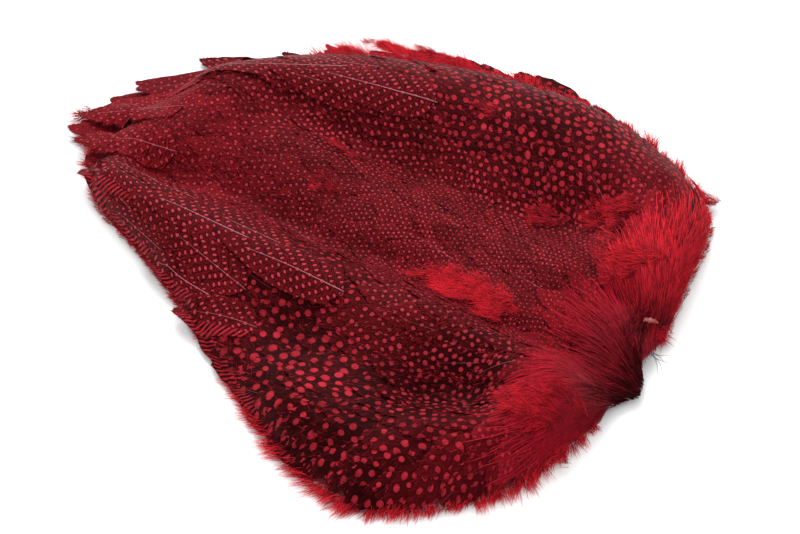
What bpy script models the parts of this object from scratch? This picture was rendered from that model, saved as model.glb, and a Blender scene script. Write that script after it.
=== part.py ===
"""A guinea fowl pelt, dyed red: the dried skin with its plumage, opened along the belly and laid back up,
and the long feathers that lie on top of its flanks and rump.

Metres. +X points to the neck, +Y to the bird's left flank, +Z up. The skin lies flat on the plane z = 0.
A place on the pelt is (s, t): s runs from 0 at the neck to 1 at the tail, t from -1 at the right edge,
over 0 along the back, to 1 at the left edge."""

import math

import bmesh
import bpy
import numpy as np
from mathutils import Vector

MM = 0.001

# Driving dimensions, in millimetres. Each line has nine points, evenly spaced from the neck to the tail.
RIGHT_EDGE = (
    (148, -34), (138, -64), (127, -92), (102, -116), (68, -130), (22, -114), (-27, -83), (-78, -53), (-122, -32),
)
BACK_LINE = (
    (151, -11), (126, 3), (95, 11), (52, 20), (7, 26), (-37, 28), (-79, 24), (-107, 16), (-131, 10),
)
LEFT_EDGE = (
    (153, 12), (149, 50), (142, 93), (110, 119), (64, 133), (10, 131), (-42, 118), (-86, 94), (-116, 63),
)

PLAN_CENTRE = (-1.1, 3.0)  # the middle of everything above and below, which becomes the origin

RIM = 3.0  # height of the outermost edge
LOFT = 12.0  # height of the flat plumage inside the shoulder
SHOULDER = 20.0  # how far in from the edge the plumage is rounded
DROOP = 0.004  # how much lower the tufts hang with each millimetre beyond the edge, as a share of the loft
SPLAY = math.radians(20)  # how far the feathers at an edge point outwards

# Folds and swells of the plumage: a line on the plan, half its width, and how far it rises.
FOLDS = (
    (((-93, 49), (-21, 88), (59, 101), (114, 82), (141, 44)), 27, 15),  # left flank
    (((-65, 52), (-3, 52), (63, 48), (98, 58)), 12, -7),  # groove beside the left flank
    (((-139, 6), (-45, 30), (21, 32), (95, 22)), 17, 4),  # back
    (((-104, -9), (-59, -2), (-12, -8), (28, -6), (84, -19), (120, -16), (147, -25)), 10, -8),  # groove, right
    (((-110, -38), (-42, -37), (14, -36), (67, -34), (118, -42), (134, -50)), 24, 13),  # right flank
    (((75, -66), (91, -60)), 14, -9),  # hollow in the right flank
    (((30, -104), (76, -98), (112, -78)), 22, 9),  # belly side of the right flank
    (((152, 8), (130, 22)), 7, -9),  # notch between the neck and the left breast
)
RUFFLE = 1.1  # height of the shallow waves all over the plumage
RUFFLE_LENGTH = 13.0  # their length from crest to trough

GRID_LENGTHWISE, GRID_CROSSWISE = 26, 26
CROWDING = 0.55
OUTLINE_STEPS = 24

# Fused tufts: each row has its place along the pelt, how many there are across it, and their length and width.
TUFT_ROWS = (
    (0.03, 4, 44, 18),
    (0.11, 6, 46, 24),
    (0.22, 8, 48, 28),
    (0.33, 9, 50, 30),
    (0.44, 10, 50, 29),
    (0.55, 10, 50, 28),
    (0.66, 9, 48, 27),
    (0.76, 8, 46, 25),
    (0.88, 7, 38, 20),
)
TUFT_SEGMENTS, TUFT_RINGS = 8, 6
TUFT_CROWN = 3.2  # how far the top of a tuft stands out of the plumage
TUFT_SINK = 1.5  # how far its outline lies within the plumage
TUFT_FOOT = 0.5  # height of the first tuft's underside over the ground
TUFT_FOOT_STEP = 0.006  # how much higher each next one's is, so that no two are in one plane

# Long feathers, each its own piece: root, tip, width, and how far it is lifted to lie over the one behind it.
LONG_FEATHERS = {
    "left_flank_feather_1": ((-44, 87), (-117, 47), 26, 0),
    "left_flank_feather_2": ((6, 82), (-64, 72), 28, 1.2),
    "right_flank_feather_1": ((-78, -31), (-138, -22), 22, 0),
    "right_flank_feather_2": ((-27, -37), (-93, -34), 26, 1.2),
    "right_flank_feather_3": ((24, -44), (-42, -43), 28, 2.4),
    "right_flank_feather_4": ((-24, -68), (-84, -59), 22, 0),
    "rump_feather_1": ((-104, 28), (-158, 12), 24, 0),
    "rump_feather_2": ((-94, 4), (-151, -5), 24, 1.8),
}
FEATHER_GAP = 0.6  # clear height of a long feather's edges over the plumage, at its root
FEATHER_PITCH = 4.0  # how much higher its tip lies
FEATHER_CAMBER = 1.0  # how far its edges droop below its shaft
VANE_THICKNESS = 0.7
SHAFT_RADIUS = 0.55
VANE_LENGTHWISE, VANE_CROSSWISE = 10, 4

PLUMAGE_RED = (0.19, 0.012, 0.022, 1.0)
SPOTTED_DARK = (0.075, 0.010, 0.016, 1.0)


def material(name, colour, roughness):
    """A Principled finish with one colour."""
    made = bpy.data.materials.new(name)
    made.use_nodes = True
    shader = made.node_tree.nodes["Principled BSDF"]
    shader.inputs["Base Color"].default_value = colour
    shader.inputs["Roughness"].default_value = roughness
    return made


def metres(points):
    """Points of the plan in metres, about the origin."""
    return (np.array(points, float) - PLAN_CENTRE) * MM


def along(line, s):
    """Places on the smooth line through evenly spaced points; s is 0 at its first and 1 at its last."""
    points = metres(line)
    points = np.vstack([2 * points[0] - points[1], points, 2 * points[-1] - points[-2]])
    at = np.clip(s, 0, 1) * (len(line) - 1)
    first = np.minimum(at.astype(int), len(line) - 2)
    u = (at - first)[..., None]
    a, b, c, d = (points[first + k] for k in range(4))
    return b + (c - a) * u / 2 + (2 * a - 5 * b + 4 * c - d) * u**2 / 2 + (3 * b - a - 3 * c + d) * u**3 / 2


def plan(s, t):
    """Seen from above, the place (x, y) of (s, t)."""
    s, t = np.broadcast_arrays(np.asarray(s, float), np.asarray(t, float))
    right, middle, left = (along(line, s) for line in (RIGHT_EDGE, BACK_LINE, LEFT_EDGE))
    t = t[..., None]
    return middle * (1 - t**2) + left * t * (t + 1) / 2 + right * t * (t - 1) / 2


def outline():
    """The pelt's edge seen from above, as a closed ring of points."""
    up = np.linspace(0, 1, OUTLINE_STEPS, endpoint=False)
    sides = (plan(up, -1), plan(1, 2 * up - 1), plan(1 - up, 1), plan(0, 1 - 2 * up))
    return np.vstack(sides)


def distance_to(places, line):
    """How far each place lies from a line of points, seen from above."""
    starts, steps = line[:-1], np.diff(line, axis=0)
    away = places[:, None] - starts
    share = (away * steps).sum(-1) / np.maximum((steps**2).sum(-1), 1e-12)
    nearest = away - np.clip(share, 0, 1)[..., None] * steps
    return np.sqrt((nearest**2).sum(-1)).min(1)


def inside(places, ring):
    """Whether each place lies within a closed ring of points."""
    ends = np.roll(ring, -1, axis=0)
    x, y = places[:, :1], places[:, 1:]
    crosses = (ring[:, 1] > y) != (ends[:, 1] > y)
    rise = np.where(ends[:, 1] == ring[:, 1], 1, ends[:, 1] - ring[:, 1])
    return (crosses & (x < ring[:, 0] + (y - ring[:, 1]) / rise * (ends[:, 0] - ring[:, 0]))).sum(1) % 2 == 1


RING = outline()


def height(places):
    """Height of the plumage's smooth top over the ground at each place (x, y)."""
    places = np.asarray(places, float).reshape(-1, 2)
    from_edge = distance_to(places, np.vstack([RING, RING[:1]])) * np.where(inside(places, RING), 1, -1)
    rise = np.sqrt(1 - (1 - np.clip(from_edge / (SHOULDER * MM), 0, 1)) ** 2)
    rise += DROOP * np.minimum(from_edge / MM, 0)
    swell = sum(
        tall * np.exp(-((distance_to(places, metres(line)) / (wide * MM)) ** 2)) for line, wide, tall in FOLDS
    )
    waves = np.sin(places @ (1, 0.35) / (RUFFLE_LENGTH * MM)) * np.cos(places @ (-0.3, 1) / (RUFFLE_LENGTH * MM))
    return MM * (RIM + rise * (LOFT - RIM + swell + RUFFLE * waves))


def growth(s, t):
    """The way the feathers point at (s, t), as an angle about Z: to the tail, and outwards near the edges."""
    step = 0.02
    way = (plan(min(s + step, 1), t) - plan(max(s - step, 0), t)).ravel()
    return math.atan2(way[1], way[0]) - SPLAY * t * abs(t)


def link(name, mesh, finish, collection):
    """A smooth-shaded object of this mesh in the collection."""
    obj = bpy.data.objects.new(name, mesh)
    collection.objects.link(obj)
    mesh.materials.append(finish)
    mesh.shade_smooth()
    mesh.set_sharp_from_angle(angle=math.radians(50))
    return obj


def skin_and_plumage(finish, collection):
    """The main solid: a grid laid out over the plan, raised to the plumage's top and closed flat underneath."""
    sheet = bmesh.new()
    bmesh.ops.create_grid(sheet, x_segments=GRID_LENGTHWISE, y_segments=GRID_CROSSWISE, size=1)
    # Rows crowd towards the edges, where the plumage is rounded.
    grid = np.array([v.co for v in sheet.verts])[:, :2]
    grid += CROWDING * np.sin(np.pi * grid) / np.pi
    places = plan((grid[:, 0] + 1) / 2, grid[:, 1])
    for vertex, place, top in zip(sheet.verts, places, height(places)):
        vertex.co = (*place, top)
    lifted = bmesh.ops.extrude_face_region(sheet, geom=sheet.faces[:])
    for vertex in [g for g in lifted["geom"] if isinstance(g, bmesh.types.BMVert)]:
        vertex.co.z = 0
    flat = [g for g in lifted["geom"] if isinstance(g, bmesh.types.BMFace)]
    bmesh.ops.dissolve_faces(sheet, faces=flat)
    bmesh.ops.recalc_face_normals(sheet, faces=sheet.faces[:])
    mesh = bpy.data.meshes.new("pelt")
    sheet.to_mesh(mesh)
    sheet.free()
    return link("pelt", mesh, finish, collection)


def tuft(name, s, t, length, width, foot, finish, collection):
    """One lock of plumage: a drop sunk in the pelt up to its outline, with its crown towards its tip."""
    drop = bmesh.new()
    bmesh.ops.create_uvsphere(drop, u_segments=TUFT_SEGMENTS, v_segments=TUFT_RINGS, radius=1)
    length *= 1 - 0.25 * abs(t)
    root, turn = plan(s, t).ravel(), growth(s, t)
    forward, aside = np.array((math.cos(turn), math.sin(turn))), np.array((-math.sin(turn), math.cos(turn)))
    shape = np.array([v.co for v in drop.verts])
    share = (shape[:, 2] + 1) / 2
    taper = 0.7 + 0.6 * share * (1.35 - share)
    places = root + MM * (
        np.outer(share * length, forward) + np.outer(shape[:, 0] * taper * width / 2, aside)
    )
    rise = shape[:, 1] * (TUFT_SINK + TUFT_CROWN) * (0.5 + share) - TUFT_SINK
    tops = np.where(shape[:, 1] < -0.1, foot * MM, height(places) + rise * MM)
    for vertex, place, top in zip(drop.verts, places, tops):
        vertex.co = (*place, top)
    mesh = bpy.data.meshes.new(name)
    drop.to_mesh(mesh)
    drop.free()
    return link(name, mesh, finish, collection)


def under_long_feather(places, wide):
    """Whether a tuft this wide, along these places, would reach under a long feather."""
    for root, tip, width, _ in LONG_FEATHERS.values():
        if distance_to(places, metres((root, tip))).min() < (width + wide) * MM * 0.42:
            return True
    return False


def pelt(finish, collection, cutters):
    """The skin and plumage with its tufts fused on."""
    body = skin_and_plumage(finish, collection)
    for row, (s, count, length, width) in enumerate(TUFT_ROWS):
        for column in range(count):
            # Odd rows are shifted by half a step, as shingles are.
            t = (column + (0.5 if row % 2 else 0.25) + 0.125) / count * 2 - 1
            turn = growth(s, t)
            reach = length * MM * np.array((math.cos(turn), math.sin(turn)))
            if under_long_feather(plan(s, t) + np.outer((0.3, 0.65, 1), reach), width):
                continue
            foot = TUFT_FOOT + TUFT_FOOT_STEP * len(cutters.objects)
            tuft(f"tuft_{row}_{column}", s, t, length, width, foot, finish, cutters)
    join = body.modifiers.new("tufts", "BOOLEAN")
    join.operation = "UNION"
    join.operand_type = "COLLECTION"
    join.collection = cutters
    return body


def vane(name, root, tip, width, lift, finish, collection):
    """A long feather: a thin cambered vane, widest beyond its middle, with its shaft along the middle."""
    start, end = metres(root), metres(tip)
    forward = (end - start) / np.linalg.norm(end - start)
    aside = np.array((-forward[1], forward[0]))
    length = np.linalg.norm(end - start)

    def place(share, across):
        """Seen from above, a point of the vane: a share of its length along, and of half its width aside."""
        half = width * MM / 2 * (0.28 + 0.72 * math.sin(math.pi * (share * 0.62 + 0.12)) * (1 - share**6))
        return start + forward * length * share + aside * across * half

    shares = np.linspace(0, 1, VANE_LENGTHWISE + 1)
    under = np.array([height([place(share, across) for across in (-1, 0, 1)]).max() for share in shares])
    rest = [
        max(
            under[i] if a == b else under[a] + (under[b] - under[a]) * (i - a) / (b - a)
            for a in range(i + 1)
            for b in range(i, len(shares))
        )
        for i in range(len(shares))
    ]

    def lie(share, across):
        """A point on the vane, which is stiff and bridges the hollows it lies over."""
        over = FEATHER_GAP + lift + FEATHER_PITCH * share + FEATHER_CAMBER * (1 - across**2)
        return Vector((*place(share, across), np.interp(share, shares, rest) + over * MM))

    sheet = bmesh.new()
    bmesh.ops.create_grid(sheet, x_segments=VANE_LENGTHWISE, y_segments=VANE_CROSSWISE, size=1)
    for vertex in sheet.verts:
        vertex.co = lie((vertex.co.x + 1) / 2, vertex.co.y)
    mesh = bpy.data.meshes.new(name)
    sheet.to_mesh(mesh)
    sheet.free()
    feather = link(name, mesh, finish, collection)
    thick = feather.modifiers.new("thickness", "SOLIDIFY")
    thick.thickness = VANE_THICKNESS * MM
    thick.offset = 1

    quill = bpy.data.curves.new(name + "_shaft", "CURVE")
    quill.dimensions = "3D"
    quill.bevel_depth = SHAFT_RADIUS * MM
    quill.bevel_resolution = 0
    quill.use_fill_caps = True
    line = quill.splines.new("POLY")
    line.points.add(VANE_LENGTHWISE)
    for share, point in zip(np.clip(shares, 0.01, 0.97), line.points):
        point.co = (*(lie(share, 0) + Vector((0, 0, VANE_THICKNESS * MM))), 1)
        point.radius = 1 - 0.6 * share
    curve = bpy.data.objects.new(name + "_shaft", quill)
    collection.objects.link(curve)
    return feather, curve


def meshed(curve, collection):
    """The curve's tube as a closed mesh object, in place of the curve."""
    bpy.context.view_layer.update()
    graph = bpy.context.evaluated_depsgraph_get()
    mesh = bpy.data.meshes.new_from_object(curve.evaluated_get(graph))
    tube = bmesh.new()
    tube.from_mesh(mesh)
    bmesh.ops.remove_doubles(tube, verts=tube.verts[:], dist=1e-6)
    bmesh.ops.recalc_face_normals(tube, faces=tube.faces[:])
    tube.to_mesh(mesh)
    tube.free()
    made = bpy.data.objects.new(curve.name + "_tube", mesh)
    made.matrix_world = curve.matrix_world
    collection.objects.link(made)
    bpy.data.objects.remove(curve)
    return made


def long_feather(name, finish, collection, cutters):
    """One long feather as a single solid."""
    feather, curve = vane(name, *LONG_FEATHERS[name], finish, collection)
    shaft = meshed(curve, cutters)
    hide_helper(shaft)
    join = feather.modifiers.new("shaft", "BOOLEAN")
    join.operation = "UNION"
    join.object = shaft
    return feather


def hide_helper(obj):
    """A helper is drawn as wires and left out of a render."""
    obj.hide_render = True
    obj.display_type = "WIRE"


def main():
    for obj in list(bpy.data.objects):
        bpy.data.objects.remove(obj)
    parts = bpy.data.collections.new("guinea_fowl_pelt")
    tufts = bpy.data.collections.new("tufts")
    shafts = bpy.data.collections.new("shafts")
    for collection in (parts, tufts, shafts):
        bpy.context.scene.collection.children.link(collection)
    plumage = material("dyed_plumage", PLUMAGE_RED, 0.8)
    spotted = material("spotted_feather", SPOTTED_DARK, 0.6)
    pelt(plumage, parts, tufts)
    for obj in tufts.objects:
        hide_helper(obj)
    for name in LONG_FEATHERS:
        long_feather(name, spotted, parts, shafts)


main()
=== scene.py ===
"""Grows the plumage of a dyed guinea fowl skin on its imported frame, and sets up the camera and lights.

Metres. +X points to the neck, +Y to the bird's left flank, +Z up. A place on the skin is (s, t): s runs from
0 at the neck to 1 at the tail, t from -1 at the right edge, over 0 along the back, to 1 at the left edge."""

import math
from functools import partial

import bpy
import numpy as np
from bpy.props import FloatProperty, FloatVectorProperty, IntProperty, PointerProperty
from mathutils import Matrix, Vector


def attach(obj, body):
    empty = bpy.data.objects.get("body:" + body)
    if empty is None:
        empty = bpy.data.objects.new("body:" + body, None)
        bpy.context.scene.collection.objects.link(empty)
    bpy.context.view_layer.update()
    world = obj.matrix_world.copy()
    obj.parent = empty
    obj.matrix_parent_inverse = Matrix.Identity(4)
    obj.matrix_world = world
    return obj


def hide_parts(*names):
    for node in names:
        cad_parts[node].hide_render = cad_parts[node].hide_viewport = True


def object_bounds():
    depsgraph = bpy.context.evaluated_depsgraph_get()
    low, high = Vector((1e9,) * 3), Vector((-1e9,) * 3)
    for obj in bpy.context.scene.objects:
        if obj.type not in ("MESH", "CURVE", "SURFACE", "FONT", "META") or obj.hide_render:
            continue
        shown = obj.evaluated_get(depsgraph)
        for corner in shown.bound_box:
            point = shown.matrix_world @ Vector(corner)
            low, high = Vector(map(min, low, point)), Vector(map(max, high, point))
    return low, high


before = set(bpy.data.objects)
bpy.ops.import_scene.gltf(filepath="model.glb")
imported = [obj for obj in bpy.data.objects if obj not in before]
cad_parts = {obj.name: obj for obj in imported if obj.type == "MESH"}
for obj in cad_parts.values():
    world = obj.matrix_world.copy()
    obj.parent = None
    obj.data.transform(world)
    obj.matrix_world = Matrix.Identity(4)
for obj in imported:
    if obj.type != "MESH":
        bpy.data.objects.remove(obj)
CAD_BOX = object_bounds()

bl_info = {
    "name": "Dyed Guinea Fowl Skin",
    "version": (1, 0, 0),
    "blender": (4, 5, 0),
    "location": "3D View > Sidebar > Plumage",
    "description": "Grows the feathers, down and fringe of a dyed guinea fowl skin",
    "category": "Add Mesh",
}

MM = 0.001
SEED = 5772

# The skin's lines, in millimetres, each of nine points evenly spaced from the neck to the tail.
RIGHT_EDGE = (
    (148, -34), (138, -64), (127, -92), (102, -116), (68, -130),
    (22, -114), (-27, -83), (-78, -53), (-122, -32),
)
BACK_LINE = (
    (151, -11), (126, 3), (95, 11), (52, 20), (7, 26),
    (-37, 28), (-79, 24), (-107, 16), (-131, 10),
)
LEFT_EDGE = (
    (153, 12), (149, 50), (142, 93), (110, 119), (64, 133),
    (10, 131), (-42, 118), (-86, 94), (-116, 63),
)
PLAN_CENTRE = (-1.1, 3.0)
RIM, LOFT = 3.0, 12.0  # how high the plumage's smooth top is at the skin's edge, and well inside it
SHOULDER = 20.0  # how far in from the edge it is at its full height
DROOP = 0.004  # by what share of that it falls with each millimetre outside the edge
SPLAY = math.radians(20)  # how far the feathers turn outwards at the edges
OUTLINE_STEPS = 24

# Folds and swells of the plumage: a line on the plan, half its width, and how far it rises.
FOLDS = (
    (((-93, 49), (-21, 88), (59, 101), (114, 82), (141, 44)), 27, 15),
    (((-65, 52), (-3, 52), (63, 48), (98, 58)), 12, -7),
    (((-139, 6), (-45, 30), (21, 32), (95, 22)), 17, 4),
    (((-104, -9), (-59, -2), (-12, -8), (28, -6), (84, -19), (120, -16), (147, -25)), 10, -8),
    (((-110, -38), (-42, -37), (14, -36), (67, -34), (118, -42), (134, -50)), 24, 13),
    (((75, -66), (91, -60)), 14, -9),
    (((30, -104), (76, -98), (112, -78)), 22, 9),
    (((152, 8), (130, 22)), 7, -9),
)
RUFFLE, RUFFLE_LENGTH = 1.1, 13.0  # low waves over the plumage: their height and their length over one radian

# Long feathers, as in the frame: root, tip, width, and how far each is lifted to lie over the one behind it.
LONG_FEATHERS = {
    "left_flank_feather_1": ((-44, 87), (-117, 47), 26, 0),
    "left_flank_feather_2": ((6, 82), (-64, 72), 28, 1.2),
    "right_flank_feather_1": ((-78, -31), (-138, -22), 22, 0),
    "right_flank_feather_2": ((-27, -37), (-93, -34), 26, 1.2),
    "right_flank_feather_3": ((24, -44), (-42, -43), 28, 2.4),
    "right_flank_feather_4": ((-24, -68), (-84, -59), 22, 0),
    "rump_feather_1": ((-104, 28), (-158, 12), 24, 0),
    "rump_feather_2": ((-94, 4), (-151, -5), 24, 1.8),
}

# How the plumage changes over the bird. For each region: its middle and its reach on the plan, the length and
# width of its feathers, the pitch and width of its spots, all in millimetres, and then, from 0 to 1, how red
# the ground between the spots is, how far the spots give way to plain colour, and how far the barbs have come
# apart.
REGIONS = (
    ((12, -86), 24, 40, 24, 7.0, 3.6, 0.02, 0.0, 0.12),  # right flank
    ((52, -120), 30, 38, 23, 6.4, 2.8, 0.04, 0.0, 0.14),
    ((98, -108), 16, 34, 20, 5.4, 2.6, 0.20, 0.1, 0.35),
    ((-2, -52), 22, 46, 26, 5.8, 2.6, 0.08, 0.0, 0.10),
    ((-50, -45), 28, 48, 24, 4.2, 1.9, 0.25, 0.0, 0.05),
    ((-105, -30), 28, 46, 24, 4.0, 1.7, 0.35, 0.0, 0.05),
    ((76, -60), 20, 34, 20, 4.2, 2.0, 0.05, 0.0, 0.15),
    ((40, -38), 20, 36, 22, 4.0, 1.6, 0.45, 0.0, 0.25),
    ((64, 89), 28, 36, 22, 5.6, 3.1, 0.10, 0.0, 0.18),  # left flank
    ((18, 107), 26, 36, 22, 5.2, 2.8, 0.15, 0.0, 0.20),
    ((108, 84), 20, 30, 18, 4.2, 2.0, 0.35, 0.1, 0.25),
    ((-20, 80), 26, 52, 24, 4.4, 2.0, 0.25, 0.0, 0.15),
    ((-80, 70), 30, 56, 24, 4.0, 1.8, 0.35, 0.0, 0.15),
    ((75, 22), 36, 26, 16, 2.5, 1.05, 0.55, 0.0, 0.10),  # back
    ((15, 22), 32, 30, 18, 2.7, 1.1, 0.50, 0.0, 0.10),
    ((-42, 26), 26, 34, 20, 3.2, 1.3, 0.45, 0.0, 0.20),
    ((-85, 10), 30, 38, 21, 3.8, 1.5, 0.65, 0.05, 0.30),  # rump
    ((-125, 8), 26, 38, 20, 3.8, 1.5, 0.70, 0.1, 0.40),
    ((132, 46), 20, 24, 14, 3.2, 1.2, 0.70, 1.0, 0.60),  # breast, either side of the neck
    ((142, 82), 13, 26, 16, 3.2, 1.4, 0.70, 0.85, 0.40),
    ((136, -58), 18, 24, 14, 3.2, 1.2, 0.70, 1.0, 0.60),
    ((124, -84), 12, 26, 16, 3.6, 1.6, 0.45, 0.35, 0.50),
    ((117, 4), 15, 22, 13, 2.6, 0.9, 0.65, 0.75, 0.50),  # between the shoulders
    ((148, -4), 15, 16, 10, 3.0, 1.0, 0.40, 1.0, 0.60),  # neck
)

ROW_STEP = 0.86  # rows of spots, as a share of the pitch, so that the spots stand in staggered rows

CAMERA_AZIMUTH, CAMERA_ELEVATION = math.radians(28), math.radians(48)
CAMERA_TARGET = Vector((0.0317, -0.0112, 0.012))
CAMERA_DISTANCE, CAMERA_LENS = 1.10, 108.0


def linear(code):
    """The linear RGB of an sRGB hex colour."""
    shares = [int(code[i : i + 2], 16) / 255 for i in (1, 3, 5)]
    return tuple(c / 12.92 if c <= 0.04045 else ((c + 0.055) / 1.055) ** 2.4 for c in shares)


def metres(points):
    """Points of the plan in metres, about the origin."""
    return (np.array(points, float) - PLAN_CENTRE) * MM


def along(line, s):
    """Places on the smooth line through evenly spaced points; s is 0 at its first and 1 at its last."""
    points = metres(line)
    points = np.vstack([2 * points[0] - points[1], points, 2 * points[-1] - points[-2]])
    at = np.clip(s, 0, 1) * (len(line) - 1)
    first = np.minimum(at.astype(int), len(line) - 2)
    u = (at - first)[..., None]
    a, b, c, d = (points[first + k] for k in range(4))
    return b + (c - a) * u / 2 + (2 * a - 5 * b + 4 * c - d) * u**2 / 2 + (3 * b - a - 3 * c + d) * u**3 / 2


def plan(s, t):
    """Seen from above, the places (x, y) of (s, t)."""
    s, t = np.broadcast_arrays(np.asarray(s, float), np.asarray(t, float))
    right, middle, left = (along(line, s) for line in (RIGHT_EDGE, BACK_LINE, LEFT_EDGE))
    t = t[..., None]
    return middle * (1 - t**2) + left * t * (t + 1) / 2 + right * t * (t - 1) / 2


def outline():
    """The skin's edge seen from above, as a closed ring of points."""
    up = np.linspace(0, 1, OUTLINE_STEPS, endpoint=False)
    return np.vstack((plan(up, -1), plan(1, 2 * up - 1), plan(1 - up, 1), plan(0, 1 - 2 * up)))


def distance_to(places, line):
    """How far each place lies from a line of points, seen from above."""
    starts, steps = line[:-1], np.diff(line, axis=0)
    away = places[:, None] - starts
    share = (away * steps).sum(-1) / np.maximum((steps**2).sum(-1), 1e-12)
    nearest = away - np.clip(share, 0, 1)[..., None] * steps
    return np.sqrt((nearest**2).sum(-1)).min(1)


def arc_along(points):
    """How far along a line each of its points lies."""
    return np.concatenate([[0], np.cumsum(np.linalg.norm(np.diff(points, axis=0), axis=1))])


def inside(places, ring):
    """Whether each place lies within a closed ring of points."""
    ends = np.roll(ring, -1, axis=0)
    x, y = places[:, :1], places[:, 1:]
    crosses = (ring[:, 1] > y) != (ends[:, 1] > y)
    rise = np.where(ends[:, 1] == ring[:, 1], 1, ends[:, 1] - ring[:, 1])
    return (crosses & (x < ring[:, 0] + (y - ring[:, 1]) / rise * (ends[:, 0] - ring[:, 0]))).sum(1) % 2 == 1


class Ground:
    """The smooth top of the plumage as heights on a raster, read between its points."""

    STEP = 1.5 * MM
    MARGIN = 0.03

    def __init__(self):
        low, high = (Vector(corner).xy for corner in CAD_BOX)
        self.low = np.array(low) - self.MARGIN
        self.x = np.arange(self.low[0], high[0] + self.MARGIN, self.STEP)
        self.y = np.arange(self.low[1], high[1] + self.MARGIN, self.STEP)
        places = np.stack(np.meshgrid(self.x, self.y, indexing="ij"), -1).reshape(-1, 2)
        ring = outline()
        from_edge = distance_to(places, np.vstack([ring, ring[:1]])) * np.where(inside(places, ring), 1, -1)
        rise = np.sqrt(1 - (1 - np.clip(from_edge / (SHOULDER * MM), 0, 1)) ** 2)
        rise += DROOP * np.minimum(from_edge / MM, 0)
        swell = sum(
            tall * np.exp(-((distance_to(places, metres(line)) / (wide * MM)) ** 2))
            for line, wide, tall in FOLDS
        )
        length = RUFFLE_LENGTH * MM
        waves = np.sin(places @ (1, 0.35) / length) * np.cos(places @ (-0.3, 1) / length)
        heights = MM * (RIM + rise * (LOFT - RIM + swell + RUFFLE * waves))
        self.heights = heights.reshape(len(self.x), len(self.y))
        self.edges = from_edge.reshape(self.heights.shape)

    def read(self, raster, places):
        """A raster's values at places, given as an array whose last axis is x, y."""
        at = (places[..., :2] - self.low) / self.STEP
        at = np.clip(at, 0, np.array(raster.shape) - 1.001)
        i, j = at[..., 0].astype(int), at[..., 1].astype(int)
        u, v = at[..., 0] - i, at[..., 1] - j
        near = raster[i, j] * (1 - u) + raster[i + 1, j] * u
        far = raster[i, j + 1] * (1 - u) + raster[i + 1, j + 1] * u
        return near * (1 - v) + far * v

    def height(self, places):
        return self.read(self.heights, places)

    def from_edge(self, places):
        """How far inside the skin's edge each place lies, less than 0 outside it."""
        return self.read(self.edges, places)

    def slope(self, places, way):
        """How steeply the plumage rises from places along unit vectors in the plan."""
        step = 3 * MM
        return (self.height(places + way * step) - self.height(places - way * step)) / (2 * step)


ground = Ground()


def headings(s, t):
    """The way the feathers point at each (s, t), as angles about Z: to the tail, outwards near the edges."""
    step = 0.02
    way = plan(np.minimum(s + step, 1), t) - plan(np.maximum(s - step, 0), t)
    # The splay fades towards the tail, on the right from further forward.
    fade = np.clip((s - np.where(t < 0, 0.45, 0.75)) / 0.3, 0, 1)
    return np.arctan2(way[..., 1], way[..., 0]) - SPLAY * t * np.abs(t) * (1 - fade)


def pointing(angles, rise=None):
    """Vectors that point at angles about Z, in the plan alone or with a rise."""
    level = [np.cos(angles), np.sin(angles)]
    return np.stack(level if rise is None else [*level, rise], -1)


def traits(places):
    """The plumage at each place: an array with a column for each trait of REGIONS after the reach."""
    middles = metres([region[0] for region in REGIONS])
    reaches = np.array([region[1] for region in REGIONS]) * MM
    values = np.array([region[2:] for region in REGIONS], float)
    away = np.linalg.norm(places[:, None, :2] - middles, axis=-1) / reaches
    weight = np.exp(-(away**2)) + 1e-6 / (1 + away**4)
    return weight @ values / weight.sum(1, keepdims=True)


def staggered(step_along, step_across, s_range, t_range, rng, jitter=0.22):
    """(s, t) of feather roots in staggered rows, evenly spaced along the plumage's surface."""
    length = np.linalg.norm(np.diff(along(BACK_LINE, np.linspace(*s_range, 50)), axis=0), axis=1).sum()
    rows = max(2, round(length / step_along))
    span = s_range[1] - s_range[0]
    found = []
    for row in range(rows):
        s = s_range[0] + (row + 0.5) / rows * span
        t = np.linspace(*t_range, 200)
        across = plan(s, t)
        arc = arc_along(np.column_stack([across, ground.height(across)]))
        count = max(2, round(arc[-1] / step_across))
        shift = 0.25 + 0.5 * (row % 2)
        at = (np.arange(count) + shift + rng.uniform(-jitter, jitter, count)) / count * arc[-1]
        move = rng.uniform(-jitter, jitter, count) * step_along / length * span
        found.append(np.column_stack([np.full(count, s) + move, np.interp(at, arc, t)]))
    found = np.vstack(found)
    return np.clip(found[:, 0], 0, 1), found[:, 1]


def node(tree, kind, inputs=(), **settings):
    """Adds a node with its settings. Each input is a value for its socket (a colour without its alpha), an
    output to link to it, or a node whose first output in use is linked to it."""
    made = tree.nodes.new("ShaderNode" + kind)
    for name, value in settings.items():
        setattr(made, name, value)
    for key, value in dict(inputs).items():
        socket = made.inputs[key]
        if isinstance(value, bpy.types.Node):
            value = next(output for output in value.outputs if output.enabled)
        if isinstance(value, bpy.types.NodeSocket):
            tree.links.new(value, socket)
        else:
            socket.default_value = (*value, 1) if socket.type == "RGBA" else value
    return made


SMOOTH = {"interpolation_type": "SMOOTHSTEP"}
COLOUR = {"data_type": "RGBA"}
QUILL_STEP = 4.0  # millimetres from one quill's pit in the skin to the next

# The map of the barbs is in centimetres. Barbs are a few hundredths of a millimetre apart, which is too fine
# to show, so they are drawn as clusters about 0.9 mm wide with threads of about 0.4 mm in them.
CENTIMETRES = 100  # in a metre
CLUSTERS = (1.6, 11.0, 1.0)
THREADS = (3.0, 24.0, 1.0)
BAR_STEP = 0.25
SHAFT_LINE = {"From Min": 0.024, "From Max": 0.014}  # where the line of a fine shaft ends, from its middle


def new_material(name):
    """A material with an empty node tree, and the function that adds a node to it."""
    made = bpy.data.materials.new(name)
    made.use_nodes = True
    made.node_tree.nodes.clear()
    return made, partial(node, made.node_tree)


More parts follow.
